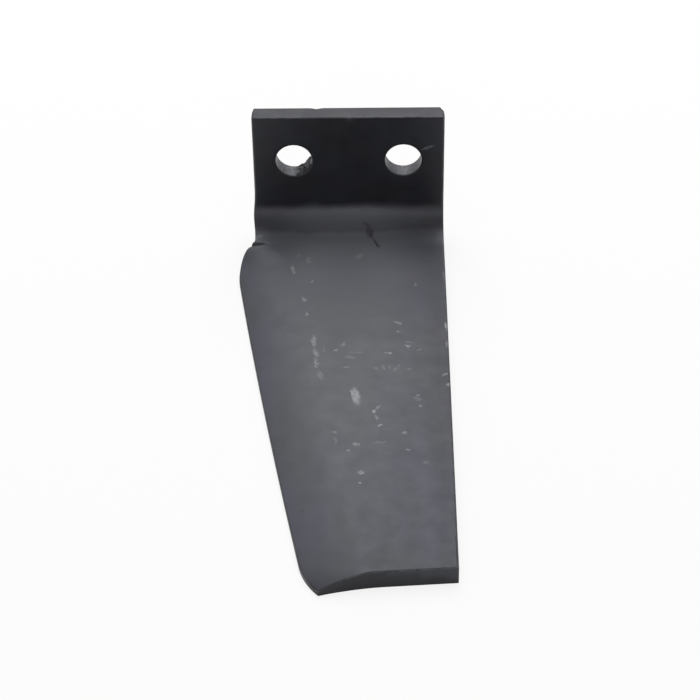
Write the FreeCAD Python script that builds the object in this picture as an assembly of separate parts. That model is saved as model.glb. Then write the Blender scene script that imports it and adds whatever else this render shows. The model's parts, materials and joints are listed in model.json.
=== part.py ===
import FreeCAD, Part
import math
import os

# Power harrow tine: flat steel bar, bent to a bolting flange and forged to a blade, all one piece.
# Millimetres. The origin is midway between the two bolt holes, on the flange's outer face.
# +Y is square to that face, away from the blade, and +Z is up the flange.
# The blade runs along -Y and lies on its flat underside. Its trailing side is at +X.

# Flat bar
bar_width = 89.0
bar_thickness = 8.5
edge_radius = 0.9

# Flange: its height runs from the blade's underside to the sheared top
flange_height = 68.0
bend_inner_radius = 12.0
sheared_edge_radius = 0.5

# Bolt holes
hole_diameter = 17.0
hole_spacing = 51.0
hole_edge_distance = 23.6
hole_rim_chamfer = 0.4

# Blade outline: its length runs from the flange's outer face down the trailing side.
# Its end slants to a tip past that length, beside a corner that is clipped on the leading side.
blade_length = 242.9
end_straight_width = 28.5
end_straight_lead = 2.0
tip_lead = 7.1
corner_width = 63.5
corner_inset = 8.4
corner_rise = 16.0

# Ear: the forging starts just past the bend and spreads the steel beyond the bar
forge_setback = 1.4
ear_overhang = 6.7
ear_length = 20.0
crown_length = 5.8
crown_inset = 0.43

# Bevel: it draws the leading edge thin from above and runs out at the forge line
leading_thickness = 2.6
bevel_width_at_ear = 22.0
bevel_width_at_tip = 24.0
bevel_width_at_start = 5.5
bevel_depth_at_start = 1.9
bevel_crown = 0.45

# The tool that cuts the bevel: how far it reaches past the steel, and its sections
tool_reach = 3.0
runout_steps = 3
bevel_steps = 4

# Positions that follow from the sizes
trailing_x = bar_width / 2
neck_x = -bar_width / 2
flange_top_z = hole_edge_distance
underside_z = flange_top_z - flange_height
blade_top_z = underside_z + bar_thickness
bend_outer_radius = bend_inner_radius + bar_thickness
bend_y = -bend_outer_radius
bend_z = underside_z + bend_outer_radius
forge_y = bend_y - forge_setback
crown_x = neck_x - ear_overhang
crown_y = forge_y - ear_length
leading_start_x = crown_x + crown_inset
leading_start_y = crown_y - crown_length
corner_x = trailing_x - corner_width
tip_x = corner_x + corner_inset
tip_y = -(blade_length + tip_lead)
corner_y = tip_y + corner_rise


def point(x, y, z):
    return FreeCAD.Vector(x, y, z)


def near(a, b):
    return abs(a - b) < 0.001


def box(low, high):
    size = high - low
    return Part.makeBox(size.x, size.y, size.z, low)


def mix(start, end, share):
    return start + (end - start) * share


# Bent bar: the flange, the quarter bend and the short neck up to the forge line

def bend_cylinder(radius):
    return Part.makeCylinder(radius, bar_width, point(neck_x, bend_y, bend_z), point(1, 0, 0))


def runs_along_bar(edge):
    # The long corners of the bar lie in its side planes, away from its two cut ends
    bounds = edge.BoundBox
    at_end = near(bounds.ZMin, flange_top_z) or near(bounds.YMax, forge_y)
    return near(bounds.XMin, bounds.XMax) and not at_end


def across_flange_top(edge):
    bounds = edge.BoundBox
    return near(bounds.ZMin, flange_top_z) and near(bounds.YMin, bounds.YMax)


def bent_bar():
    flange = box(
        point(neck_x, -bar_thickness, bend_z),
        point(trailing_x, 0, flange_top_z),
    )
    bend_space = box(
        point(neck_x, bend_y, underside_z),
        point(trailing_x, 0, bend_z),
    )
    bend = bend_cylinder(bend_outer_radius).cut(bend_cylinder(bend_inner_radius)).common(bend_space)
    neck = box(
        point(neck_x, forge_y, underside_z),
        point(trailing_x, bend_y, blade_top_z),
    )
    bar = flange.fuse([bend, neck]).removeSplitter()
    bar = bar.makeFillet(edge_radius, [edge for edge in bar.Edges if runs_along_bar(edge)])
    top_edges = [edge for edge in bar.Edges if across_flange_top(edge)]
    return bar.makeFillet(sheared_edge_radius, top_edges)


# Blade blank: the outline as the forging spreads it and the end trimming leaves it

def tangent_arc(start, heading, end):
    # The arc that leaves start along heading and reaches end, and its heading there
    chord = end - start
    turn = math.atan2(heading.x * chord.y - heading.y * chord.x, heading.dot(chord))
    sideways = point(chord.y, -chord.x, 0)
    middle = start + chord * 0.5 + sideways * (math.tan(turn / 2) / 2)
    turning = FreeCAD.Rotation(point(0, 0, 1), math.degrees(2 * turn))
    return Part.Arc(start, middle, end).toShape(), turning.multVec(heading)


def ear_arc(z):
    # A quarter of an ellipse, from the neck out to the crown of the ear
    centre = point(neck_x, crown_y, z)
    neck = centre + point(0, ear_length, 0)
    crown = centre - point(ear_overhang, 0, 0)
    return Part.Arc(Part.Ellipse(neck, crown, centre), 0, math.pi / 2).toShape()


def blade_outline(z):
    # From the neck round the ear, the leading edge, the clipped corner, the end and the trailing side
    neck = point(neck_x, forge_y, z)
    crown = point(crown_x, crown_y, z)
    leading_start = point(leading_start_x, leading_start_y, z)
    corner = point(corner_x, corner_y, z)
    tip = point(tip_x, tip_y, z)
    trailing_corner = point(trailing_x, -blade_length, z)
    end_bend = trailing_corner - point(end_straight_width, end_straight_lead, 0)
    trailing_start = point(trailing_x, forge_y, z)

    crown_arc, heading = tangent_arc(crown, point(0, -1, 0), leading_start)
    leading_arc, heading = tangent_arc(leading_start, heading, corner)
    corner_arc, heading = tangent_arc(corner, heading, tip)
    end_heading = (end_bend - trailing_corner).normalize()
    end_arc, heading = tangent_arc(end_bend, end_heading, tip)
    return Part.Wire([
        ear_arc(z),
        crown_arc,
        leading_arc,
        corner_arc,
        end_arc,
        Part.makeLine(end_bend, trailing_corner),
        Part.makeLine(trailing_corner, trailing_start),
        Part.makeLine(trailing_start, neck),
    ])


def blade_blank():
    return Part.Face(blade_outline(underside_z)).extrude(point(0, 0, bar_thickness))


# Bevel: a slightly crowned slope from its ridge on top of the blade down to the leading edge

def leading_edge_x(y):
    # The leading edge's shallow curve, carried on smoothly past both of its ends
    run = leading_start_y - y
    full_run = leading_start_y - corner_y
    start_lean = math.tan(2 * math.atan2(crown_inset, crown_length))
    end_shift = corner_x - leading_start_x - start_lean * full_run
    return leading_start_x + start_lean * run + end_shift * (run / full_run) ** 2


def bevel_section(y, edge_x, width, depth):
    ridge = point(edge_x + width, y, blade_top_z)
    slope = point(-width, 0, -depth)
    outside = ridge + slope * (1 + tool_reach / width)
    square_out = point(-depth, 0, width).normalize()
    middle = (ridge + outside) * 0.5 + square_out * (bevel_crown * width / bevel_width_at_ear)
    above_ridge = ridge + point(0, 0, tool_reach)
    above_outside = point(outside.x, y, above_ridge.z)
    return Part.Wire([
        Part.Arc(ridge, middle, outside).toShape(),
        Part.makeLine(outside, above_outside),
        Part.makeLine(above_outside, above_ridge),
        Part.makeLine(above_ridge, ridge),
    ])


def bevel_runout():
    # Grows from a short notch at the forge line to the full bevel at the crown of the ear
    full_depth = bar_thickness - leading_thickness
    sections = []
    for step in range(runout_steps + 1):
        share = step / runout_steps
        growth = math.sin(share * math.pi / 2)
        edge_x = mix(neck_x, leading_edge_x(crown_y), growth)
        width = mix(bevel_width_at_start, bevel_width_at_ear, growth)
        depth = mix(bevel_depth_at_start, full_depth, growth)
        sections.append(bevel_section(mix(forge_y, crown_y, share), edge_x, width, depth))
    return Part.makeLoft(sections, True)


def bevel_main():
    # Follows the leading edge from the crown of the ear past the end of the blade
    full_depth = bar_thickness - leading_thickness
    sections = []
    for step in range(bevel_steps + 1):
        share = step / bevel_steps
        y = mix(crown_y, tip_y - tool_reach, share)
        width = mix(bevel_width_at_ear, bevel_width_at_tip, share)
        sections.append(bevel_section(y, leading_edge_x(y), width, full_depth))
    return Part.makeLoft(sections, True)


# Blade: its rim is rounded above and below, all the way round from the forge line

def is_upright(face):
    low_u, high_u, low_v, high_v = face.ParameterRange
    return near(face.normalAt((low_u + high_u) / 2, (low_v + high_v) / 2).z, 0)


def rim_edges(blade):
    edges = []
    walls = [face for face in blade.Faces if is_upright(face) and face.BoundBox.YMin < forge_y - 0.001]
    for wall in walls:
        for edge in wall.Edges:
            bounds = edge.BoundBox
            upright = near(bounds.XLength, 0) and near(bounds.YLength, 0)
            known = any(edge.isSame(other) for other in edges)
            if not upright and not known:
                edges.append(edge)
    return edges


def blade():
    bevelled = blade_blank().cut([bevel_runout(), bevel_main()]).removeSplitter()
    return bevelled.makeFillet(edge_radius, rim_edges(bevelled))


# Bolt holes, with the slight chamfer that clears the punching burr on both faces

def hole_tool(x):
    along = point(0, 1, 0)
    radius = hole_diameter / 2
    mouth_radius = radius + hole_rim_chamfer
    hole = Part.makeCylinder(radius, bar_thickness, point(x, -bar_thickness, 0), along)
    inner_mouth = Part.makeCone(
        mouth_radius, radius, hole_rim_chamfer, point(x, -bar_thickness, 0), along)
    outer_mouth = Part.makeCone(
        radius, mouth_radius, hole_rim_chamfer, point(x, -hole_rim_chamfer, 0), along)
    return hole.fuse([inner_mouth, outer_mouth])


def harrow_tine():
    holes = [hole_tool(-hole_spacing / 2), hole_tool(hole_spacing / 2)]
    return bent_bar().fuse(blade()).removeSplitter().cut(holes)


os.makedirs("parts", exist_ok=True)
tine = harrow_tine()
tine.exportStep("parts/harrow_tine.step")
print("solids", len(tine.Solids), "valid", tine.isValid(), "volume", round(tine.Volume, 1))
print("size", tine.BoundBox.XLength, tine.BoundBox.YLength, tine.BoundBox.ZLength)
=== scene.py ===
import bpy
import json
import math
import numpy as np
from mathutils import Matrix, Vector, noise


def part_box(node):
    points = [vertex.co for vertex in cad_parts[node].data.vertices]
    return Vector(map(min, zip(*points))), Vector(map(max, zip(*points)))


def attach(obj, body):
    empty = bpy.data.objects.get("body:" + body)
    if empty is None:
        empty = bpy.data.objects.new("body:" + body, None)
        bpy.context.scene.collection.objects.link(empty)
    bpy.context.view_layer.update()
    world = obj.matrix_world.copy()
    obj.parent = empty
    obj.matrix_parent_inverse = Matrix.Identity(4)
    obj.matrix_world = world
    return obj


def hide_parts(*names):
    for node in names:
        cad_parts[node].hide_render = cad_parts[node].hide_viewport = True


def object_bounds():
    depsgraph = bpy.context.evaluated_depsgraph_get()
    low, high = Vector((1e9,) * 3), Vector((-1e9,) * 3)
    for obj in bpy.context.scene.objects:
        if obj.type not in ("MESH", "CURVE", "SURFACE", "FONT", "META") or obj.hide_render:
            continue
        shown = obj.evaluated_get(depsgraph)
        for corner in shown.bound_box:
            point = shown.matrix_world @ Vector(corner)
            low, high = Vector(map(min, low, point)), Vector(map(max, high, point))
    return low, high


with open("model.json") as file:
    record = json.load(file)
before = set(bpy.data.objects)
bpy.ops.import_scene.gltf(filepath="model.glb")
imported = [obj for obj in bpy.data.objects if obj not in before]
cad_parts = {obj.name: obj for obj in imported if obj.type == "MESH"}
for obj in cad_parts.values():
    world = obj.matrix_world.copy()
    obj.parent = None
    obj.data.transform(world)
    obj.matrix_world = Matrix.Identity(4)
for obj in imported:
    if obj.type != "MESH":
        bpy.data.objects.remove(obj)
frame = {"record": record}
cad_low, cad_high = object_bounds()


# Camera
# A long lens from in front of the blade's end, looking down on it. The place, tilt and lens
# come from fitting the two bolt holes and the straight sides of the bar.

mm = 0.001

camera_place = Vector((12.86, -876.47, 578.20)) * mm
look_down = math.radians(38.52)
look_aside = math.radians(0.90)
camera_roll = math.radians(-0.925)
lens_length = 114.78
sensor_width = 36.0

camera_data = bpy.data.cameras.new("camera")
camera_data.lens = lens_length
camera_data.sensor_width = sensor_width
camera = bpy.data.objects.new("camera", camera_data)
bpy.context.scene.collection.objects.link(camera)
camera.matrix_world = (
    Matrix.Translation(camera_place)
    @ Matrix.Rotation(look_aside, 4, "Z")
    @ Matrix.Rotation(math.pi / 2 - look_down, 4, "X")
    @ Matrix.Rotation(camera_roll, 4, "Z")
)
bpy.context.scene.camera = camera


# Studio
# A white sheet on the bench runs out to a white room. A wide soft lamp hangs above and behind
# the flange, so the blade mirrors it while the flange mirrors only the dark blade. A weak one
# stands low in front, before the end of the blade.

# Sheet: half its width and how far it lies under the tine, in metres, and how bright it looks to
# the camera and in the paint
floor_half = 4.0
floor_drop = 0.00002
floor_white = "#fafaf9"
floor_glow_seen = 0.84
floor_glow_mirrored = 0.33
floor_glow = 1.0

# Room: its light on the tine, and its brightness where it is seen
room_fill = 0.45
white_room = 1.0

# Lamps: place, size across and deep in metres, and power in watts
lamps = {
    "overhead_softbox": ((0, 0.80, 1.40), 1.5, 1.6, 24.0),
    "front_softbox": ((0, -2.20, 0.45), 1.5, 1.1, 6.5),
}
lamp_aim = Vector((0, -0.12, 0))


def paint_colour(hex_code):
    # sRGB hex to the linear numbers that the shaders take
    channels = [int(hex_code[i:i + 2], 16) / 255 for i in (1, 3, 5)]
    linear = [c / 12.92 if c <= 0.04045 else ((c + 0.055) / 1.055) ** 2.4 for c in channels]
    return (*linear, 1.0)


def add(tree, kind, inputs=(), **settings):
    # One node: its settings, then its inputs, each a plain value or another node's socket
    node = tree.nodes.new(kind)
    for name, value in settings.items():
        setattr(node, name, value)
    for socket, value in dict(inputs).items():
        if isinstance(value, bpy.types.NodeSocket):
            tree.links.new(value, node.inputs[socket])
        else:
            node.inputs[socket].default_value = value
    return node


def where_seen(tree, directly, mirrored):
    # One value for rays from the camera, one for rays from a mirror or through glass, otherwise 0
    ray = add(tree, "ShaderNodeLightPath").outputs
    bounced = add(tree, "ShaderNodeMath", {0: ray["Is Glossy Ray"], 1: ray["Is Transmission Ray"]},
                  operation="MAXIMUM")
    from_mirror = add(tree, "ShaderNodeMath", {0: bounced.outputs[0], 1: mirrored},
                      operation="MULTIPLY")
    return add(tree, "ShaderNodeMath",
               {0: ray["Is Camera Ray"], 1: directly, 2: from_mirror.outputs[0]},
               operation="MULTIPLY_ADD").outputs[0]


floor_mesh = bpy.data.meshes.new("bench_sheet")
floor_z = cad_low.z - floor_drop
floor_mesh.from_pydata(
    [(x * floor_half, y * floor_half, floor_z) for x, y in ((-1, -1), (1, -1), (1, 1), (-1, 1))],
    [], [(0, 1, 2, 3)])
floor = bpy.data.objects.new("bench_sheet", floor_mesh)
bpy.context.scene.collection.objects.link(floor)

sheet = bpy.data.materials.new("white_paper_sheet")
sheet.use_nodes = True
sheet.node_tree.nodes.clear()
paper = add(sheet.node_tree, "ShaderNodeBsdfDiffuse", {"Color": paint_colour(floor_white)})
glow = add(sheet.node_tree, "ShaderNodeEmission", {"Strength": floor_glow})
glow_share = where_seen(sheet.node_tree, floor_glow_seen, floor_glow_mirrored)
lit = add(sheet.node_tree, "ShaderNodeMixShader",
          {0: glow_share, 1: paper.outputs[0], 2: glow.outputs[0]})
add(sheet.node_tree, "ShaderNodeOutputMaterial", {"Surface": lit.outputs[0]})
floor_mesh.materials.append(sheet)

room = bpy.data.worlds.new("white_room")
room.use_nodes = True
room.node_tree.nodes.clear()
room_light = add(room.node_tree, "ShaderNodeMapRange",
                 {"Value": where_seen(room.node_tree, 1.0, 1.0),
                  "To Min": room_fill, "To Max": white_room})
room_surface = add(room.node_tree, "ShaderNodeBackground", {"Strength": room_light.outputs[0]})
add(room.node_tree, "ShaderNodeOutputWorld", {"Surface": room_surface.outputs[0]})
bpy.context.scene.world = room

for name, (place, wide, deep, power) in lamps.items():
    lamp_data = bpy.data.lights.new(name, "AREA")
    lamp_data.shape = "RECTANGLE"
    lamp_data.size = wide
    lamp_data.size_y = deep
    lamp_data.energy = power
    lamp = bpy.data.objects.new(name, lamp_data)
    bpy.context.scene.collection.objects.link(lamp)
    lamp.location = place
    lamp.rotation_euler = (lamp_aim - lamp.location).to_track_quat("-Z", "Y").to_euler()


# Tine
# One forging: flat steel bar with two punched bolt holes, its blade drawn out thin along the
# leading side and trimmed slantwise, then bent square over a former and dipped in charcoal paint.
# It is modelled the way it is made: the flat blank first, and the bend last.

# Sizes in millimetres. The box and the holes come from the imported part.
low, high = (np.array(corner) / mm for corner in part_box("harrow_tine"))
bolt_holes = next(m for m in frame["record"]["mounts"] if m["name"] == "bolt_holes")["dims"]
hole_radius = bolt_holes["hole_r_mm"]
hole_x = bolt_holes["spacing_x_mm"] / 2
trailing_x, flange_top = high[0], high[2]
crown_x, tip_y, underside = low
neck_x = -trailing_x
bar_thickness = 8.5
bend_radius = 12.0

# The blank's own frame: x across, y along, the blade where it ends up and the flange unbent
blade_top = underside + bar_thickness
bend_y = -(bar_thickness + bend_radius)
flange_y = bend_y + bend_radius * math.pi / 2
unbent = flange_y - (blade_top + bend_radius)
blank_top = flange_top + unbent
hole_y = unbent

# Outline: the neck beside the bend, the ear that the hammer spread below it, the leading edge
# down to its clipped corner, and the hollow slanting end
forge_y = -21.9
ear_overhang = neck_x - crown_x
ear_length = 18.0
ear_drop = 20.0
crown_y = forge_y - ear_drop
crown_length = 5.8
crown_inset = 0.43
notch_turn = 0.25
ear_fullness = 0.72
corner = np.array((-19.2, -234.0))
tip = np.array((-11.1, tip_y))
end_bend = np.array((16.0, -244.9))
trailing_corner = np.array((trailing_x, -242.9))
arc_steps = 60


def arc_points(start, heading, end):
    # The circular arc that leaves start along heading and reaches end, and its last heading
    left = np.array((-heading[1], heading[0]))
    chord = end - start
    turn = math.atan2(chord @ left, chord @ heading)
    radius = np.hypot(*chord) / (2 * math.sin(turn))
    angles = np.linspace(0, 2 * turn, arc_steps)
    sideways = np.outer(1 - np.cos(angles), left)
    points = start + radius * (np.outer(np.sin(angles), heading) + sideways)
    return points, math.cos(2 * turn) * heading + math.sin(2 * turn) * left


def unit(vector):
    # The vector's direction, one long
    return vector / np.hypot(*vector)


def leading_outline():
    # Down the neck, round the small inside corner, out round the ear and along to the tip. The
    # second line, which the bevel follows, runs straight on where the corner is clipped.
    angles = np.linspace(notch_turn, math.pi / 2, arc_steps)
    ear = np.stack((neck_x - ear_overhang * np.sin(angles) ** ear_fullness,
                    crown_y + ear_length * np.cos(angles)), 1)
    heading = unit(ear[1] - ear[0])
    reach = (neck_x - ear[0, 0]) / -heading[0]
    notch_start = np.array((neck_x, ear[0, 1] - heading[1] * reach + reach))
    notch, _ = arc_points(notch_start, np.array((0.0, -1.0)), ear[0])
    crown, heading = arc_points(ear[-1], np.array((0.0, -1.0)),
                                np.array((crown_x + crown_inset, crown_y - crown_length)))
    leading, heading = arc_points(crown[-1], heading, corner)
    clipped, _ = arc_points(corner, heading, tip)
    neck = np.array([(neck_x, blank_top)])
    forged = np.concatenate((neck, notch, ear[1:], crown[1:], leading[1:]))
    carried_on = corner + heading * (tip_y - corner[1]) / heading[1]
    return np.concatenate((forged, clipped[1:])), np.concatenate((forged, [carried_on]))


def end_outline():
    # From the tip along the hollow end and its straight stretch to the trailing corner
    curve, _ = arc_points(end_bend, unit(end_bend - trailing_corner), tip)
    return np.concatenate((curve[::-1], [trailing_corner]))


leading_side, bevel_guide = leading_outline()
blade_end = end_outline()

# Grid over the blank: fine lines near its rim, its holes and the ear, wider ones elsewhere
rim_step = 0.28
hole_block = 27.0
hole_lines = 32
hole_step = hole_block / hole_lines
open_step = 1.0
neck_step = 0.3
neck_length = 4.8
blade_step = 1.6
graded_length = 20.0
tilt_y = -200.0


def even(length, step):
    # Distances along a stretch of equal steps
    count = round(length / step)
    return np.arange(1, count + 1) * (length / count)


def graded(length, first, last):
    # Distances along a stretch whose steps grow by one factor from first to last
    count = max(2, round(length * math.log(last / first) / (last - first)))
    steps = np.geomspace(first, last, count)
    return np.cumsum(steps) * (length / steps.sum())


def turned_round(distances):
    # The same steps in the opposite order
    return distances[-1] - np.append(distances[-2::-1], 0)


def lines_along(*stretches):
    # Where the grid's lines lie when the stretches follow one another from 0
    places = [0.0]
    for stretch in stretches:
        places.extend(places[-1] + stretch)
    return np.array(places)


side_margin = graded(trailing_x - hole_x - hole_block / 2, rim_step, hole_step)
top_margin = graded(blank_top - hole_y - hole_block / 2, rim_step, hole_step)
hole_span = even(hole_block, hole_step)
neck_end_y = bend_y - neck_length

across = lines_along(
    side_margin, hole_span, even(2 * hole_x - hole_block, open_step), hole_span,
    turned_round(side_margin))
down = lines_along(
    top_margin, hole_span, even(hole_y - hole_block / 2 - flange_y, open_step),
    even(flange_y - bend_y, hole_step), even(neck_length, neck_step),
    graded(graded_length, neck_step, blade_step), even(neck_end_y - graded_length - tilt_y, blade_step))
tilting = lines_along(
    even(tilt_y - tip_y - graded_length, blade_step),
    turned_round(graded(graded_length, rim_step, blade_step)))

shares = across / across[-1]
tilt_shares = tilting[1:] / tilting[-1]
leading_y = np.append(blank_top - down, tilt_y + (tip_y - tilt_y) * tilt_shares)
trailing_y = np.append(blank_top - down, tilt_y + (trailing_corner[1] - tilt_y) * tilt_shares)
columns, rows = len(across) - 1, len(leading_y) - 1

# Rim: the outline as one loop of points, clockwise from the flange's leading corner
end_x = tip[0] + (trailing_corner[0] - tip[0]) * shares
top_line = np.stack((neck_x + across, np.full(columns + 1, blank_top)), 1)
trailing_line = np.stack((np.full(rows + 1, trailing_x), trailing_y), 1)
end_line = np.stack((end_x, np.interp(end_x, blade_end[:, 0], blade_end[:, 1])), 1)
leading_x = np.interp(-leading_y, -leading_side[:, 1], leading_side[:, 0])
leading_line = np.stack((leading_x, leading_y), 1)
rim = np.concatenate((top_line, trailing_line[1:], end_line[-2::-1], leading_line[-2:0:-1]))
top_trailing, end_trailing, end_leading = columns, columns + rows, 2 * columns + rows

# Its corners, and its edges: the cut ends and the thin leading edge are crisper than the sides.
# The last two values count points of the rim: how far from a corner its sides are read, and how
# far a cut end's rounding passes over into a side's.
flange_corner_radius = 1.0
trailing_corner_radius = 0.4
tip_radius = 0.5
side_rounding = 0.9
leading_rounding = 0.45
cut_rounding = 0.45
underside_rounding = 0.25
corner_look = 4
cut_spread = 4


def round_corner(loop, index, radius):
    # Slides the points on both sides of a corner on to the arc that rounds it
    sharp = loop[index].copy()
    ways = [unit(loop[(index + step) % len(loop)] - sharp) for step in (-corner_look, corner_look)]
    half = math.acos(np.clip(ways[0] @ ways[1], -1, 1)) / 2
    reach = radius / math.tan(half)
    centre = sharp + unit(ways[0] + ways[1]) * radius / math.sin(half)
    outward = unit(sharp - centre)
    loop[index] = centre + outward * radius
    for way, step in zip(ways, (-1, 1)):
        touch = unit(sharp + way * reach - centre)
        at = index + step
        while (distance := np.hypot(*(loop[at % len(loop)] - sharp))) < reach:
            share = distance / reach
            loop[at % len(loop)] = centre + unit(outward * (1 - share) + touch * share) * radius
            at += step


for index, radius in ((0, flange_corner_radius), (top_trailing, flange_corner_radius),
                      (end_trailing, trailing_corner_radius), (end_leading, tip_radius)):
    round_corner(rim, index, radius)

along_rim = np.roll(rim, -1, 0) - np.roll(rim, 1, 0)
outward = np.stack((-along_rim[:, 1], along_rim[:, 0]), 1)
outward /= np.hypot(*outward.T)[:, None]
is_cut = np.zeros(len(rim))
is_cut[:top_trailing + 1] = 1
is_cut[end_trailing:end_leading + 1] = 1
spread = np.hanning(2 * cut_spread + 1)
is_cut = np.concatenate((is_cut[-cut_spread:], is_cut, is_cut[:cut_spread]))
is_cut = np.convolve(is_cut, spread / spread.sum(), "valid")
is_drawn = np.clip((forge_y - rim[:, 1]) / ear_length, 0, 1) * (np.arange(len(rim)) > end_leading)
rounding = side_rounding + (leading_rounding - side_rounding) * is_drawn
rounding = rounding + (cut_rounding - rounding) * is_cut

# Faces of the blank: the bevel runs down to the leading edge from a soft ridge, and starts at a
# shoulder where the hammer first struck. Nothing forged is quite flat.
leading_thickness = 2.6
bevel_depth = bar_thickness - leading_thickness
bevel_width_at_ear = 22.0
bevel_width_at_tip = 24.0
bevel_width_at_start = 5.5
bevel_depth_at_start = 1.0
bevel_crown = 0.45
ridge_softness_at_ear = 0.6
ridge_softness_at_tip = 0.2
shoulder_y = -23.6
shoulder_run = 0.7

# Long swells and small ripples all over, and waves across the bend
swell_size = 48.0
swell_height = 0.07
ripple_size = 14.0
ripple_height = 0.025
bend_swell = 2.2
wave_across = 36.0
wave_along = 9.0
wave_height = 0.5

# A fold that the hammer left between the neck and the ear
crease_y = -24.2
crease_depth = 2.0
crease_width = 0.34
crease_end_x = -38.5


def eased(values):
    # 0 to 1 with a soft start and end
    values = np.clip(values, 0, 1)
    return values * values * (3 - 2 * values)


def noise_over(points, size, layer):
    # Smooth hills and hollows from -1 to 1, about size millimetres across. Each layer number
    # gives a pattern of its own.
    return np.array([noise.noise(Vector((x / size, y / size, layer))) for x, y in points])


def bevel(points):
    # How far the bevel lies below the bar's top face
    x, y = points.T
    growth = np.sin(np.clip((shoulder_y - y) / (shoulder_y - crown_y), 0, 1) * math.pi / 2)
    to_tip = np.clip((crown_y - y) / (crown_y - tip_y), 0, 1)
    edge_x = np.interp(-y, -leading_side[:, 1], leading_side[:, 0])
    guide_x = np.interp(-y, -bevel_guide[:, 1], bevel_guide[:, 0])
    width = bevel_width_at_start + (bevel_width_at_ear - bevel_width_at_start) * growth
    width = width + (bevel_width_at_tip - bevel_width_at_ear) * to_tip + guide_x - edge_x
    depth = bevel_depth_at_start + (bevel_depth - bevel_depth_at_start) * growth
    inward = (x - edge_x) / width
    crowned = 4 * bevel_crown * np.maximum(inward * (1 - inward), 0) * width / bevel_width_at_ear
    slope = depth * (1 - inward) - crowned
    soft = ridge_softness_at_ear + (ridge_softness_at_tip - ridge_softness_at_ear) * to_tip
    blended = (slope + np.sqrt(slope * slope + soft * soft)) / 2
    folded = eased((crease_end_x - x) / (crease_end_x - neck_x))
    crease = crease_depth * folded * np.exp(-((y - crease_y) / crease_width) ** 2)
    return blended * eased((shoulder_y - y) / shoulder_run + 0.5) + crease


def top_z(points):
    # Height of the top face, which is less even in the bend than elsewhere
    in_bend = np.exp(-((points[:, 1] - (bend_y + flange_y) / 2) / bend_radius) ** 2)
    swell = swell_height * noise_over(points, swell_size, 3.7) * (1 + bend_swell * in_bend)
    ripple = ripple_height * noise_over(points, ripple_size, 9.1) * (1 + bend_swell * in_bend)
    wave = wave_height * noise_over(points / (wave_across, wave_along), 1.0, 5.3) * in_bend
    return blade_top - bevel(points) + swell + ripple + wave


def bottom_z(points):
    # Height of the underside, which never hangs below the solid's
    return underside + swell_height * (noise_over(points, swell_size, 21.3) + 1) / 2


def grid_inside(loop):
    # Straight lines between the two long sides, bowed near the ends to follow them
    top = loop[:columns + 1]
    trailing = loop[top_trailing:end_trailing + 1]
    end = loop[end_trailing:end_leading + 1][::-1]
    leading = np.concatenate((loop[end_leading:], loop[:1]))[::-1]
    share = shares[None, :, None]
    grid = leading[:, None] * (1 - share) + trailing[:, None] * share
    top_bow = top - grid[0]
    end_bow = end - grid[-1]
    below_top = np.exp(-(blank_top - leading_y) / flange_corner_radius)
    above_end = 1 - eased((leading_y - tip_y) / (tilt_y - tip_y))
    return grid + below_top[:, None, None] * top_bow + above_end[:, None, None] * end_bow


# Rounded rim: rings from the top face round to the wall, down it and round to the underside
rounding_steps = 5
wall_shares = (0.06, 0.35, 0.65, 0.94)
end_lean = 0.2
lean_run_along = 30.0
lean_run_across = 12.0

# Lighter part of the end face, painted on its trailing side: how far down it reaches, how it
# wanders and how softly it ends, as shares of the face's height
burnished_from_x = 12.0
burnished_to_x = 40.0
burnished_reach = 0.8
burnished_wander = 0.5
burnished_patch = 5.0
burnished_fade = 0.3

# Marks that the paint reads at each point: handled edges, inside of a hole, the lighter end face,
# dried paint
surface_marks = {"edge": [], "bore": [], "burnished": [], "clot": []}
edge_handling = 1.0
mouth_handling = 0.6
wall_handling = 0.4

mesh_points = []
ring_starts = []


def leaning(points, share):
    # The shears left the end face leaning out towards its foot, share of the way down
    along_run = eased((tilt_y - points[:, 1]) / lean_run_along)
    across_run = eased((points[:, 0] - tip[0]) / lean_run_across)
    shift = end_lean * share * along_run * across_run
    return points - np.stack((np.zeros(len(points)), shift), 1)


def store(points, heights, **marked):
    # Adds one row or ring of points to the mesh and returns the number of its first
    first = len(mesh_points)
    mesh_points.extend(np.column_stack((points, heights)).tolist())
    for name, values in surface_marks.items():
        values.extend(np.broadcast_to(marked.get(name, 0.0), len(points)))
    return first


def burnished(share):
    # The sheared end is painted lighter high up and towards its trailing side, and left dark elsewhere
    on_end = is_cut * (rim[:, 1] < tilt_y)
    reach = burnished_reach * (rim[:, 0] - burnished_from_x) / (burnished_to_x - burnished_from_x)
    wander = burnished_wander * noise_over(rim, burnished_patch, 14.2)
    return on_end * eased((reach + wander - share) / burnished_fade)


def inset(distance):
    # The rim drawn in by a distance
    return rim - outward * np.broadcast_to(distance, len(rim))[:, None]


turns = np.linspace(0, math.pi / 2, rounding_steps + 1)
top_grid = grid_inside(inset(rounding))
bottom_grid = grid_inside(leaning(inset(underside_rounding), 1))
top_start = store(top_grid.reshape(-1, 2), top_z(top_grid.reshape(-1, 2)))
bottom_start = store(bottom_grid.reshape(-1, 2), bottom_z(bottom_grid.reshape(-1, 2)))

for turn in turns[1:]:
    points = inset(rounding * (1 - math.sin(turn)))
    heights = top_z(points) - rounding * (1 - math.cos(turn))
    ring_starts.append(store(points, heights, edge=edge_handling))
wall_top = top_z(rim) - rounding
wall_bottom = bottom_z(rim) + underside_rounding
for share in wall_shares:
    heights = wall_top + (wall_bottom - wall_top) * share
    ring_starts.append(
        store(leaning(rim, share), heights, edge=wall_handling, burnished=burnished(share)))
for turn in turns[:0:-1]:
    points = inset(underside_rounding * (1 - math.sin(turn)))
    heights = bottom_z(points) + underside_rounding * (1 - math.cos(turn))
    ring_starts.append(
        store(leaning(points, 1), heights, edge=edge_handling, burnished=burnished(1.0)))


def grid_number(row, column):
    # The grid's points are counted row by row
    return row * (columns + 1) + column


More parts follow.
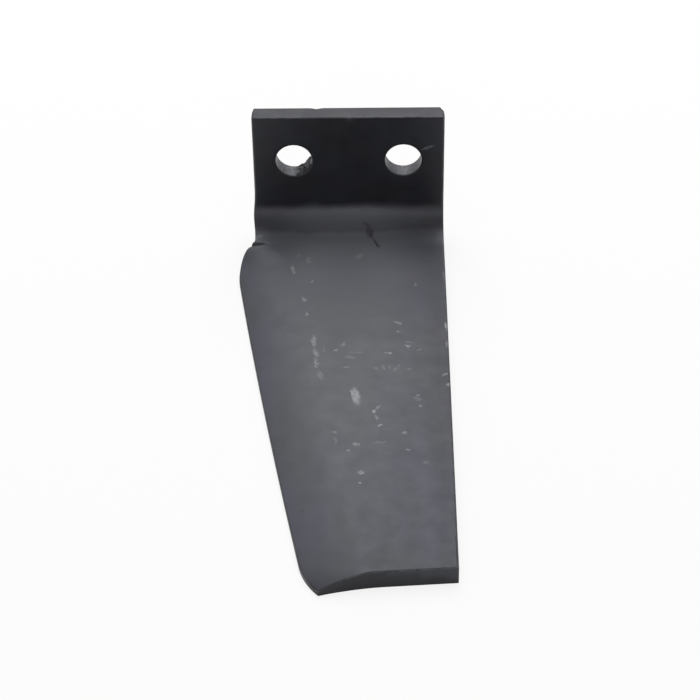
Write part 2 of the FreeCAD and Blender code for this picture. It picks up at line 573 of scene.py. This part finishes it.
def around(row_from, row_to, column_from, column_to):
    # Grid numbers once round a block, clockwise from its corner nearest the flange's leading side
    top = [grid_number(row_from, c) for c in range(column_from, column_to)]
    right = [grid_number(r, column_to) for r in range(row_from, row_to)]
    bottom = [grid_number(row_to, c) for c in range(column_to, column_from, -1)]
    left = [grid_number(r, column_from) for r in range(row_to, row_from, -1)]
    return np.array(top + right + bottom + left)


faces = []


def bridge(upper, lower, flip=False):
    # Joins two closed rings of the same count with four-sided faces
    for a, b, c, d in zip(upper, np.roll(upper, -1), np.roll(lower, -1), lower):
        faces.append((a, d, c, b) if flip else (a, b, c, d))


rim_numbers = around(0, rows, 0, columns)
rings = [rim_numbers + top_start]
rings += [np.arange(start, start + len(rim)) for start in ring_starts]
rings += [rim_numbers + bottom_start]
for upper, lower in zip(rings, rings[1:]):
    bridge(upper, lower)

# Bolt holes: the grid's square round each is filled by rings that end on its rounded mouth.
# Dried paint has run down and set as a lump in the hole on the leading side.
mouth_rounding = 0.35
mouth_steps = 4
ring_count = 7
bore_steps = 20
bore_pit_size = 1.3
bore_pit_depth = 0.05

# Where round a hole its square's first corner lies
first_corner = math.radians(135)

# The lump: its place round the hole and its height, its hills and pits, and the height from
# which it is all black
lump_angle = math.radians(-47)
lump_reach = math.radians(36)
lump_height = 1.15
lump_fullness = 0.8
lump_unevenness = 0.8
lump_hill_size = 2.4
lump_pit_size = 1.1
lump_pit_from = 0.05
lump_pit_depth = 1.8
lump_dark_height = 0.4

hole_row = len(top_margin)
hole_columns = (len(side_margin), columns - len(side_margin) - hole_lines)
hole_blocks = [(hole_row, hole_row + hole_lines, c, c + hole_lines) for c in hole_columns]
mouth_turns = np.linspace(0, math.pi / 2, mouth_steps + 1)

for side, hole_rows_columns in zip((-1, 1), hole_blocks):
    centre = np.array((side * hole_x, hole_y))
    square = around(*hole_rows_columns)
    angles = first_corner - np.arange(len(square)) * 2 * math.pi / len(square)
    spokes = np.stack((np.cos(angles), np.sin(angles)), 1)
    chain = [square + top_start]
    flat_top = top_grid.reshape(-1, 2)[square]
    mouth = centre + spokes * (hole_radius + mouth_rounding)
    for share in np.arange(1, ring_count + 1) / ring_count:
        points = flat_top + (mouth - flat_top) * share
        chain.append(np.arange(len(square)) + store(points, top_z(points)))
    mouth_top, mouth_bottom = top_z(mouth), bottom_z(mouth)
    for turn in mouth_turns[1:]:
        points = centre + spokes * (hole_radius + mouth_rounding * (1 - math.sin(turn)))
        heights = mouth_top - mouth_rounding * (1 - math.cos(turn))
        chain.append(np.arange(len(square)) + store(points, heights, edge=mouth_handling))
    bore_top, bore_bottom = mouth_top - mouth_rounding, mouth_bottom + mouth_rounding
    for share in np.arange(1, bore_steps) / bore_steps:
        heights = bore_top + (bore_bottom - bore_top) * share
        wrap = np.stack((angles * hole_radius, heights), 1)
        pitted = bore_pit_depth * noise_over(wrap, bore_pit_size, side * 5.0)
        off_lump = ((angles - lump_angle + math.pi) % (2 * math.pi) - math.pi) / lump_reach
        hills = lump_fullness + lump_unevenness * noise_over(wrap, lump_hill_size, 2.2)
        pits = np.maximum(noise_over(wrap, lump_pit_size, 7.4) - lump_pit_from, 0)
        lump = np.exp(-off_lump ** 4) * (hills - lump_pit_depth * pits) * (side < 0)
        lump = lump_height * np.maximum(lump, 0)
        points = centre + spokes * (hole_radius - lump + pitted)[:, None]
        dried = np.minimum(lump / lump_dark_height, 1)
        chain.append(np.arange(len(square)) + store(points, heights, bore=1.0, clot=dried))
    for turn in mouth_turns[:0:-1]:
        points = centre + spokes * (hole_radius + mouth_rounding * (1 - math.sin(turn)))
        heights = mouth_bottom + mouth_rounding * (1 - math.cos(turn))
        chain.append(np.arange(len(square)) + store(points, heights, edge=mouth_handling))
    flat_bottom = bottom_grid.reshape(-1, 2)[square]
    for share in np.arange(ring_count, 0, -1) / ring_count:
        points = flat_bottom + (mouth - flat_bottom) * share
        chain.append(np.arange(len(square)) + store(points, bottom_z(points)))
    chain.append(square + bottom_start)
    for upper, lower in zip(chain, chain[1:]):
        bridge(upper, lower, flip=True)


def in_a_hole_block(row, column):
    return any(r0 <= row < r1 and c0 <= column < c1 for r0, r1, c0, c1 in hole_blocks)


for row in range(rows):
    for column in range(columns):
        if in_a_hole_block(row, column):
            continue
        a, b = grid_number(row, column), grid_number(row + 1, column)
        faces.append((a + top_start, b + top_start, b + top_start + 1, a + top_start + 1))
        faces.append((a + bottom_start, a + bottom_start + 1, b + bottom_start + 1, b + bottom_start))

# Knocks: both back corners of the flange are clipped, its top edge has two small nicks, and steel
# was squeezed out sideways where the neck bends
clip_fade = 14.0
bulge = 0.85
bulge_y = -7.8
bulge_length = 6.5
bulge_width = 4.0

# Each clip: its side, and how far it reaches across the flange and through its thickness
clips = ((trailing_x, 2.2, 3.7), (neck_x, 0.9, 3.5))

# Each nick: its place, its radius and how far it is pushed in
nicks = (
    ((0.5, blank_top, blade_top), 1.5, (0, -0.35, -0.3)),
    ((-14.6, blank_top, underside), 1.8, (0, -0.5, 0)),
)

blank = np.array(mesh_points)
for side_x, wide, deep in clips:
    inner = side_x - math.copysign(wide, side_x)
    on_face = np.array((inner, blank_top, underside))
    on_side = np.array((side_x, blank_top, underside + deep))
    faded = np.array((side_x, blank_top - clip_fade, underside))
    square_out = np.cross(on_side - on_face, faded - on_face)
    square_out *= math.copysign(1 / np.linalg.norm(square_out), square_out[1])
    proud = np.maximum((blank - on_face) @ square_out, 0) * (blank[:, 1] > faded[1])
    blank -= proud[:, None] * square_out
squeezed = np.exp(-((blank[:, 1] - bulge_y) / bulge_length) ** 2 - (blank[:, 0] - neck_x) / bulge_width)
blank[:, 0] -= bulge * squeezed * (blank[:, 2] - underside) / bar_thickness
for place, radius, push in nicks:
    nearness = np.exp(-((blank - place) ** 2).sum(1) / radius ** 2)
    blank += nearness[:, None] * push

tine_mesh = bpy.data.meshes.new("harrow_tine_blank")
tine_mesh.from_pydata((blank * mm).tolist(), [], [tuple(int(i) for i in face) for face in faces])
for name, values in surface_marks.items():
    tine_mesh.attributes.new(name, "FLOAT", "POINT").data.foreach_set("value", values)
blank_object = bpy.data.objects.new("harrow_tine_blank", tine_mesh)
bpy.context.scene.collection.objects.link(blank_object)

# Bend: everything past the bend line is rolled up round a former of the bend's inner radius
bending = bpy.data.node_groups.new("bend_over_former", "GeometryNodeTree")
bending.interface.new_socket("Blank", in_out="INPUT", socket_type="NodeSocketGeometry")
bend_inputs = {
    name: bending.interface.new_socket(name, in_out="INPUT", socket_type=kind).identifier
    for name, kind in (("Bend Line", "NodeSocketFloat"), ("Former Radius", "NodeSocketFloat"),
                       ("Former Height", "NodeSocketFloat"), ("Turn", "NodeSocketFloat"),
                       ("Paint", "NodeSocketMaterial"))}
bending.interface.new_socket("Tine", in_out="OUTPUT", socket_type="NodeSocketGeometry")

given = add(bending, "NodeGroupInput").outputs
where = add(bending, "GeometryNodeInputPosition")
flat = add(bending, "ShaderNodeSeparateXYZ", {0: where.outputs[0]}).outputs
past_line = add(bending, "ShaderNodeMath", {0: flat["Y"], 1: given["Bend Line"]}, operation="SUBTRACT")
wound = add(bending, "ShaderNodeMath", {0: past_line.outputs[0], 1: given["Former Radius"]},
            operation="DIVIDE")
angle = add(bending, "ShaderNodeClamp", {"Value": wound.outputs[0], "Max": given["Turn"]}).outputs[0]
arc = add(bending, "ShaderNodeMath", {0: angle, 1: given["Former Radius"]}, operation="MULTIPLY")
left_over = add(bending, "ShaderNodeMath", {0: flat["Y"], 1: arc.outputs[0]}, operation="SUBTRACT")
unrolled = add(bending, "ShaderNodeCombineXYZ",
               {"X": flat["X"], "Y": left_over.outputs[0], "Z": flat["Z"]})
centre = add(bending, "ShaderNodeCombineXYZ", {"Y": given["Bend Line"], "Z": given["Former Height"]})
rolled = add(bending, "ShaderNodeVectorRotate",
             {"Vector": unrolled.outputs[0], "Center": centre.outputs[0], "Angle": angle},
             rotation_type="X_AXIS")
bent = add(bending, "GeometryNodeSetPosition",
           {"Geometry": given["Blank"], "Position": rolled.outputs[0]})
realized = add(bending, "GeometryNodeRealizeInstances", {"Geometry": bent.outputs[0]})
coated = add(bending, "GeometryNodeSetMaterial",
             {"Geometry": realized.outputs[0], "Material": given["Paint"]})
add(bending, "NodeGroupOutput", {0: coated.outputs[0]})

# Charcoal satin paint, dipped over grey primer: near black where it is clean, grey on the upward
# faces, partly haze from handling and partly painted light, with soft violet patches where the
# film dried thicker
clean_paint = "#0f0f13"
thick_paint = "#16171c"
# Darker grey at the blade's sides, where the haze and the painted reflection fade
margin_paint = "#24252c"
violet_paint = "#2b2c3b"
# Grey of the upward faces: haze, and painted light on the tops
haze_and_light_grey = "#424347"
# Lighter grey towards the bend: painted light where the flange shades the blade, with dust
bend_haze_and_light = "#64656b"
primer_grey = "#a6a8aa"
# Near black: dried paint and dark spots, and painted shade in the gouge and the fold
black_and_painted_shade = "#0e0e10"
worn_edge = "#6a6b6e"
# Lighter tone painted on the end face, high up towards its trailing side
burnished_paint = "#2a2b31"
bore_dark = "#3a3b3e"
bore_light = "#616265"
sheen_tint = "#f5f6ff"
paint_ior = 1.5

charcoal = bpy.data.materials.new("charcoal_satin_paint")
charcoal.use_nodes = True
charcoal.node_tree.nodes.clear()
paint = charcoal.node_tree

object_place = add(paint, "ShaderNodeTexCoord").outputs["Object"]
object_normal = add(paint, "ShaderNodeTexCoord").outputs["Normal"]
in_mm = add(paint, "ShaderNodeVectorMath", {0: object_place, "Scale": 1 / mm},
            operation="SCALE").outputs[0]
sideways, along, height = add(paint, "ShaderNodeSeparateXYZ", {0: in_mm}).outputs
facing_up = add(paint, "ShaderNodeSeparateXYZ", {0: object_normal}).outputs["Z"]

# Scuffs down to primer by how bare they are. Each gives the x and y of its middle on the flat
# blank, its length, its width and its turn in degrees.
bright_scuffs = (
    # the large chip in the middle of the blade, brightest on its left
    (3.4, -136.8, 15.0, 4.4, 98), (2.2, -136.8, 12.0, 1.8, 101),
    # flecks on the blade and on its trailing edge
    (18.6, -107.3, 1.8, 1.8, 0), (26.4, -102.4, 3.6, 1.4, 150), (6.6, -186.6, 1.7, 1.6, 0),
    (5.3, -192.7, 1.8, 1.4, 0), (43.4, -129.6, 3.4, 1.5, 93),
    (11.2, -147.4, 2.2, 2.0, 0), (13.7, -156.5, 3.4, 1.4, 21), (43.6, -88.7, 8.0, 1.2, 90),
)
plain_scuffs = (
    # the long scrape beside the ridge
    (-15.4, -98.6, 12.6, 2.8, 92), (-14.3, -107.2, 7.4, 2.8, 110), (-14.1, -113.8, 9.4, 2.2, 96),
    # where it starts, up towards the bend
    (-26.0, -45.1, 9.0, 2.0, 102), (-16.8, -54.5, 3.2, 1.4, 60), (-20.3, -68.0, 5.0, 2.4, 116),
    (-18.9, -78.9, 4.4, 2.0, 93),
    # flecks across the middle of the blade
    (-2.4, -101.1, 4.8, 1.8, 72), (-5.7, -105.3, 4.2, 1.2, 34), (-0.8, -117.0, 4.8, 1.5, 12),
    (22.0, -85.7, 5.6, 1.8, 149), (22.3, -92.2, 2.8, 1.2, 0), (31.0, -105.4, 3.6, 1.3, 30),
    (16.7, -107.2, 2.8, 1.5, 10), (30.4, -57.3, 3.2, 1.4, 92),
    # the crooked scratch and the spots below it
    (12.6, -144.8, 6.0, 1.4, 61), (12.3, -151.1, 5.0, 1.4, 108), (30.4, -136.5, 2.4, 2.0, 0),
    (31.2, -143.7, 2.2, 1.8, 17), (24.0, -161.3, 3.6, 2.6, 0), (25.6, -172.4, 2.6, 1.6, 169),
    (3.6, -168.5, 4.2, 2.8, 167), (0.3, -172.6, 2.6, 1.6, 45), (-5.4, -160.7, 2.2, 1.9, 0),
    (5.7, -186.3, 3.8, 3.2, 171), (43.7, -101.0, 7.0, 1.2, 91), (42.2, -122.4, 4.0, 1.6, 37),
)
faint_scuffs = (
    # round the long scrape
    (-12.1, -122.2, 8.4, 3.4, 103), (-10.9, -104.4, 4.6, 1.2, 94), (-19.0, -38.5, 5.4, 3.0, 104),
    (-18.7, -36.2, 3.2, 1.7, 20), (-23.8, -34.1, 3.0, 1.6, 54),
    # the row of dents across the middle, and the smears round it
    (12.1, -117.8, 3.0, 1.6, 167), (15.5, -117.3, 4.4, 1.8, 104), (17.9, -116.9, 3.8, 1.9, 98),
    (20.6, -118.8, 3.8, 1.8, 30), (22.3, -117.0, 3.8, 1.7, 94), (26.4, -118.9, 3.8, 1.7, 7),
    (0.5, -110.0, 6.4, 3.2, 172), (3.4, -106.8, 7.4, 1.5, 176), (27.2, -99.8, 5.6, 1.3, 160),
    # lower down, at the edges and by the bend
    (30.0, -139.0, 5.0, 3.0, 140), (-5.0, -166.2, 6.2, 1.4, 95), (13.3, -167.3, 7.6, 1.5, 0),
    (32.5, -180.2, 2.8, 2.8, 0), (43.8, -51.3, 10.4, 1.4, 90),
    (-46.4, -69.8, 4.6, 1.5, 88), (-42.4, -18.8, 5.0, 2.4, 30), (4.8, -34.8, 6.0, 4.0, 55),
    # the smear on the flange beside the trailing hole
    (36.8, 29.2, 8.4, 1.9, 22),
)

# Dark spots, painted shadow along the gouge that runs down out of the bend, and painted shade
# in the fold by the ear
dark_spots_and_painted_shade = (
    (-28.6, -91.9, 2.0, 1.5, 40), (-15.0, -229.3, 3.2, 1.5, 170), (-18.2, -205.1, 3.0, 1.2, 163),
    (8.0, -12.3, 4.6, 1.8, 154), (9.6, -16.3, 11.0, 3.8, 102), (12.5, -24.4, 12.6, 1.7, 110),
    (-43.0, -24.2, 12.0, 2.0, 178),
)

# How far each kind covers the film, at its core
bright_share = 0.68
plain_share = 0.37
faint_share = 0.19
dark_and_shade_share = 0.72

# How deep a mark reaches into the steel, where its fully covered core starts, and how ragged its
# outline is
mark_depth = 8.0
mark_core = 0.55
ragged_size = 1.5
ragged_shift = 2.8

ragged_noise = add(paint, "ShaderNodeTexNoise",
                   {"Vector": in_mm, "Scale": 1 / ragged_size, "Detail": 3.0})
ragged_push = add(paint, "ShaderNodeVectorMath",
                  {0: ragged_noise.outputs["Color"], 1: (ragged_shift,) * 3, 2: (-ragged_shift / 2,) * 3},
                  operation="MULTIPLY_ADD")
ragged = add(paint, "ShaderNodeVectorMath", {0: in_mm, 1: ragged_push.outputs[0]}, operation="ADD")


def rolled_up(x, y, turn):
    # Where a mark on the flat blank lies once the bar is bent, and which way it then faces
    wound = min(max((y - bend_y) / bend_radius, 0), math.pi / 2)
    tilt = Matrix.Rotation(wound, 3, "X")
    along_face = tilt @ Vector((0, y - bend_y - wound * bend_radius, -bend_radius))
    facing = (tilt @ Matrix.Rotation(math.radians(turn), 3, "Z")).to_euler()
    return along_face + Vector((x, bend_y, blade_top + bend_radius)), facing


def covered(marks, share):
    # How much of a point the marks cover: ragged ellipses that lie on the steel's face
    nearest = None
    for x, y, length, width, turn in marks:
        place, facing = rolled_up(x, y, turn)
        local = add(paint, "ShaderNodeMapping",
                    {"Vector": ragged.outputs[0], "Location": place, "Rotation": facing,
                     "Scale": (length / 2, width / 2, mark_depth)}, vector_type="TEXTURE")
        inside = add(paint, "ShaderNodeTexGradient", {"Vector": local.outputs[0]},
                     gradient_type="SPHERICAL").outputs["Fac"]
        nearest = inside if nearest is None else add(paint, "ShaderNodeMath", {0: nearest, 1: inside},
                                                     operation="MAXIMUM").outputs[0]
    return add(paint, "ShaderNodeMapRange", {"Value": nearest, "From Max": mark_core, "To Max": share},
               interpolation_type="SMOOTHSTEP").outputs[0]


# Dust and handling haze lie on the blade in one long patch that fades towards its sides. Its
# light middle and darker sides are also a painted reflection of the lamp, thinning out sideways.
haze_and_reflection_middle = (-1.5, -70.0, -36.0)
haze_and_reflection_reach = (53.5, 225.0, 50.0)
haze_and_reflection_fades_from = 0.75
haze_and_reflection_fades_to = 0.05

centred = add(paint, "ShaderNodeMapping",
              {"Vector": in_mm, "Location": haze_and_reflection_middle, "Scale": haze_and_reflection_reach}, vector_type="TEXTURE")
middle = add(paint, "ShaderNodeTexGradient", {"Vector": centred.outputs[0]},
             gradient_type="SPHERICAL").outputs["Fac"]
middle = add(paint, "ShaderNodeMapRange",
             {"Value": middle, "From Min": haze_and_reflection_fades_to, "From Max": haze_and_reflection_fades_from},
             interpolation_type="SMOOTHSTEP").outputs[0]

# Outside it the film has dried in long patches, some of them violet
patch_across = 16.0
patch_along = 52.0
violet_from = 0.40
violet_to = 0.62
noise_roughness = 0.6

patch_place = add(paint, "ShaderNodeMapping",
                  {"Vector": in_mm, "Scale": (patch_across, patch_along, patch_across)},
                  vector_type="TEXTURE")
patchy = add(paint, "ShaderNodeTexNoise",
             {"Vector": patch_place.outputs[0], "Scale": 1.0, "Detail": 2.0,
              "Roughness": noise_roughness}).outputs["Fac"]
violet = add(paint, "ShaderNodeMapRange",
             {"Value": patchy, "From Min": violet_from, "From Max": violet_to},
             interpolation_type="SMOOTHSTEP").outputs[0]
margins = add(paint, "ShaderNodeMix",
              {"Factor": violet, 6: paint_colour(margin_paint), 7: paint_colour(violet_paint)},
              data_type="RGBA").outputs[2]

# Where the steel faces up it is painted lighter, partly haze that settles there and partly
# painted light, and this grows through the bend on to the blade
upward_wander = 0.16
upward_from = 0.89
upward_to = 1.045
upward_from_y = -9.0
upward_to_y = -20.0

upward_wandering = add(paint, "ShaderNodeMath", {0: patchy, 1: upward_wander, 2: facing_up},
               operation="MULTIPLY_ADD").outputs[0]
upward = add(paint, "ShaderNodeMapRange",
             {"Value": upward_wandering, "From Min": upward_from, "From Max": upward_to},
             interpolation_type="SMOOTHSTEP").outputs[0]
onto_blade = add(paint, "ShaderNodeMapRange",
                 {"Value": along, "From Min": upward_from_y, "From Max": upward_to_y}).outputs[0]
upward = add(paint, "ShaderNodeMath", {0: upward, 1: onto_blade}, operation="MULTIPLY").outputs[0]

# Painted shade keeps the trailing side and the end darker, and beside the bend painted light
# reaches out to the sides
rim_from_x = 32.0
rim_to_x = 39.0
end_rim_from_y = -226.0
end_rim_to_y = -246.0
rim_share = 0.45
near_bend_from_y = -28.0
near_bend_to_y = -22.0
near_bend_share = 0.45

# Painted shade on the trailing side and towards the end
rim_dark = add(paint, "ShaderNodeMapRange",
               {"Value": sideways, "From Min": rim_from_x, "From Max": rim_to_x,
                "To Max": rim_share}).outputs[0]
end_dark = add(paint, "ShaderNodeMapRange",
               {"Value": along, "From Min": end_rim_from_y, "From Max": end_rim_to_y,
                "To Max": rim_share}).outputs[0]
rim_dark = add(paint, "ShaderNodeMath", {0: rim_dark, 1: end_dark}, operation="MAXIMUM").outputs[0]
margins = add(paint, "ShaderNodeMix", {"Factor": rim_dark, 6: margins, 7: paint_colour(clean_paint)},
              data_type="RGBA").outputs[2]
# Painted light: the sides beside the bend are lightened where the flange shades the blade
near_bend = add(paint, "ShaderNodeMapRange",
                {"Value": along, "From Min": near_bend_from_y, "From Max": near_bend_to_y,
                 "To Max": near_bend_share}).outputs[0]
near_bend = add(paint, "ShaderNodeMath", {0: near_bend, 1: upward}, operation="MULTIPLY").outputs[0]
margins = add(paint, "ShaderNodeMix", {"Factor": near_bend, 6: margins, 7: paint_colour(bend_haze_and_light)},
              data_type="RGBA").outputs[2]

# Towards the bend the haze is lighter, painted light where the flange shades the blade. Inside
# the bend it climbs a little way up to a wavy line: dust, and painted light where the highlight starts.
bend_haze_and_light_from_y = -90.0
bend_haze_and_light_to_y = -26.0
dust_and_light_line_wave = 8.0
dust_and_light_line_high = -19.0
dust_and_light_line_low = -23.5
bend_dust_and_light = 0.4

towards_bend = add(paint, "ShaderNodeMapRange",
                   {"Value": along, "From Min": bend_haze_and_light_from_y, "From Max": bend_haze_and_light_to_y}).outputs[0]
dust_and_light = add(paint, "ShaderNodeMix",
           {"Factor": towards_bend, 6: paint_colour(haze_and_light_grey), 7: paint_colour(bend_haze_and_light)},
           data_type="RGBA").outputs[2]
dust_and_light_line = add(paint, "ShaderNodeMath", {0: patchy, 1: dust_and_light_line_wave, 2: height},
                operation="MULTIPLY_ADD").outputs[0]
below_line = add(paint, "ShaderNodeMapRange",
                 {"Value": dust_and_light_line, "From Min": dust_and_light_line_high, "From Max": dust_and_light_line_low}).outputs[0]
in_bend = add(paint, "ShaderNodeMath", {0: towards_bend, 1: bend_dust_and_light}, operation="MULTIPLY").outputs[0]
in_bend = add(paint, "ShaderNodeMath", {0: in_bend, 1: middle}, operation="MULTIPLY").outputs[0]
dust_and_light_share = add(paint, "ShaderNodeMath", {0: upward, 1: in_bend}, operation="MAXIMUM").outputs[0]
haze_and_light = add(paint, "ShaderNodeMath", {0: dust_and_light_share, 1: below_line}, operation="MULTIPLY").outputs[0]
hazed_and_light_film = add(paint, "ShaderNodeMix", {"Factor": middle, 6: margins, 7: dust_and_light}, data_type="RGBA").outputs[2]

# The clean film is faintly streaked across
streak_reach = (26.0, 1.5, 18.0)
streak_from = 0.40
streak_to = 0.66

streak_place = add(paint, "ShaderNodeMapping", {"Vector": in_mm, "Scale": streak_reach},
                   vector_type="TEXTURE")
streaks = add(paint, "ShaderNodeTexNoise",
              {"Vector": streak_place.outputs[0], "Scale": 1.0, "Detail": 3.0,
               "Roughness": noise_roughness}).outputs["Fac"]
streaks = add(paint, "ShaderNodeMapRange",
              {"Value": streaks, "From Min": streak_from, "From Max": streak_to}).outputs[0]
clean = add(paint, "ShaderNodeMix",
            {"Factor": streaks, 6: paint_colour(clean_paint), 7: paint_colour(thick_paint)},
            data_type="RGBA").outputs[2]
# Painted light: the upward faces and the bend take the lighter grey, with their haze
film = add(paint, "ShaderNodeMix", {"Factor": haze_and_light, 6: clean, 7: hazed_and_light_film}, data_type="RGBA").outputs[2]
# Painted shade in the gouge and the fold, with the dark spots
film = add(paint, "ShaderNodeMix",
           {"Factor": covered(dark_spots_and_painted_shade, dark_and_shade_share), 6: film, 7: paint_colour(black_and_painted_shade)},
           data_type="RGBA").outputs[2]

# The film's grain is the orange peel of a dipped coat, about a millimetre across. Scuffs bare the
# primer through it, so they are speckled.
paint_grain = 1.1
speckle_from = 0.36
speckle_to = 0.56
speckle_least = 0.45

grain = add(paint, "ShaderNodeTexNoise",
            {"Vector": in_mm, "Scale": 1 / paint_grain, "Detail": 3.0,
             "Roughness": noise_roughness}).outputs["Fac"]
speckle = add(paint, "ShaderNodeMapRange",
              {"Value": grain, "From Min": speckle_from, "From Max": speckle_to,
               "To Min": speckle_least, "To Max": 1.0}).outputs[0]
faint = add(paint, "ShaderNodeMath",
            {0: covered(faint_scuffs, faint_share), 1: covered(plain_scuffs, plain_share)},
            operation="MAXIMUM").outputs[0]
worn = add(paint, "ShaderNodeMath", {0: faint, 1: covered(bright_scuffs, bright_share)},
           operation="MAXIMUM").outputs[0]
bare = add(paint, "ShaderNodeMath", {0: worn, 1: speckle}, operation="MULTIPLY").outputs[0]
film = add(paint, "ShaderNodeMix", {"Factor": bare, 6: film, 7: paint_colour(primer_grey)},
           data_type="RGBA").outputs[2]

# Edges are rubbed lighter by handling, in patches
handled_from = 0.5
handled_share = 0.32
chafe_size = 5.0
chafe_from = 0.42
chafe_to = 0.60

edge = add(paint, "ShaderNodeAttribute", attribute_name="edge").outputs["Fac"]
handled = add(paint, "ShaderNodeMapRange",
              {"Value": edge, "From Min": handled_from, "From Max": edge_handling,
               "To Max": handled_share}).outputs[0]
chafed = add(paint, "ShaderNodeTexNoise",
             {"Vector": in_mm, "Scale": 1 / chafe_size, "Detail": 4.0,
              "Roughness": noise_roughness}).outputs["Fac"]
chafed = add(paint, "ShaderNodeMapRange",
             {"Value": chafed, "From Min": chafe_from, "From Max": chafe_to}).outputs[0]
handled = add(paint, "ShaderNodeMath", {0: handled, 1: chafed}, operation="MULTIPLY").outputs[0]
film = add(paint, "ShaderNodeMix", {"Factor": handled, 6: film, 7: paint_colour(worn_edge)},
           data_type="RGBA").outputs[2]

# The end face is painted lighter in part. The holes' walls are mottled grey, and dried paint is black.
mottle_from = 0.4
mottle_to = 0.62

burnished_share = add(paint, "ShaderNodeAttribute", attribute_name="burnished").outputs["Fac"]
film = add(paint, "ShaderNodeMix",
           {"Factor": burnished_share, 6: film, 7: paint_colour(burnished_paint)},
           data_type="RGBA").outputs[2]
mottle = add(paint, "ShaderNodeMapRange",
             {"Value": grain, "From Min": mottle_from, "From Max": mottle_to}).outputs[0]
bore_film = add(paint, "ShaderNodeMix",
                {"Factor": mottle, 6: paint_colour(bore_dark), 7: paint_colour(bore_light)},
                data_type="RGBA").outputs[2]
clot = add(paint, "ShaderNodeAttribute", attribute_name="clot").outputs["Fac"]
bore_film = add(paint, "ShaderNodeMix", {"Factor": clot, 6: bore_film, 7: paint_colour(black_and_painted_shade)},
                data_type="RGBA").outputs[2]
in_bore = add(paint, "ShaderNodeAttribute", attribute_name="bore").outputs["Fac"]
film = add(paint, "ShaderNodeMix", {"Factor": in_bore, 6: film, 7: bore_film},
           data_type="RGBA").outputs[2]

# Satin where it is clean, duller on the faces that lean back and are dusty, dullest on scuffs
clean_roughness = 0.36
hazed_roughness = 0.52
scuff_roughness = 0.62
leaning_from = 0.1
leaning_to = 0.7
sag_size = 9.0
sag_from = 0.3
sag_to = 0.7
sag_roughness = 0.04

leaning_back = add(paint, "ShaderNodeMapRange",
                   {"Value": facing_up, "From Min": leaning_from, "From Max": leaning_to}).outputs[0]
sag = add(paint, "ShaderNodeTexNoise",
          {"Vector": in_mm, "Scale": 1 / sag_size, "Detail": 2.0,
           "Roughness": noise_roughness}).outputs["Fac"]
uneven = add(paint, "ShaderNodeMapRange",
             {"Value": sag, "From Min": sag_from, "From Max": sag_to,
              "To Min": -sag_roughness, "To Max": sag_roughness}).outputs[0]
roughness = add(paint, "ShaderNodeMix",
                {"Factor": leaning_back, 2: clean_roughness, 3: hazed_roughness}).outputs[0]
roughness = add(paint, "ShaderNodeMath", {0: uneven, 1: roughness}, operation="ADD").outputs[0]
roughness = add(paint, "ShaderNodeMix", {"Factor": bare, 2: roughness, 3: scuff_roughness}).outputs[0]

# Skin of the film: fine peel over shallow sags
peel_height = 0.012
sag_height = 0.05

peel = add(paint, "ShaderNodeBump",
           {"Strength": 1.0, "Distance": peel_height * mm, "Height": grain})
sags = add(paint, "ShaderNodeBump",
           {"Strength": 1.0, "Distance": sag_height * mm, "Height": sag, "Normal": peel.outputs[0]})
skin = add(paint, "ShaderNodeBsdfPrincipled", {
    "Base Color": film, "Roughness": roughness, "Normal": sags.outputs[0],
    "IOR": paint_ior, "Specular Tint": paint_colour(sheen_tint)})
add(paint, "ShaderNodeOutputMaterial", {"Surface": skin.outputs[0]})

# The blank goes over the former, gets its coat and is made one plain mesh
roller = blank_object.modifiers.new("bend", "NODES")
roller.node_group = bending
for name, value in (("Bend Line", bend_y * mm), ("Former Radius", bend_radius * mm),
                    ("Former Height", (blade_top + bend_radius) * mm), ("Turn", math.pi / 2),
                    ("Paint", charcoal)):
    roller[bend_inputs[name]] = value

evaluated = blank_object.evaluated_get(bpy.context.evaluated_depsgraph_get())
bent_mesh = bpy.data.meshes.new_from_object(evaluated)
bent_mesh.name = "harrow_tine_bent"
bent_mesh.shade_smooth()
tine = bpy.data.objects.new("harrow_tine_bent", bent_mesh)
bpy.context.scene.collection.objects.link(tine)
bpy.data.objects.remove(blank_object)

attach(tine, "root")
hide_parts("harrow_tine")


# Picture
# Colours go to the picture as they are.

bpy.context.scene.view_settings.view_transform = "Standard"
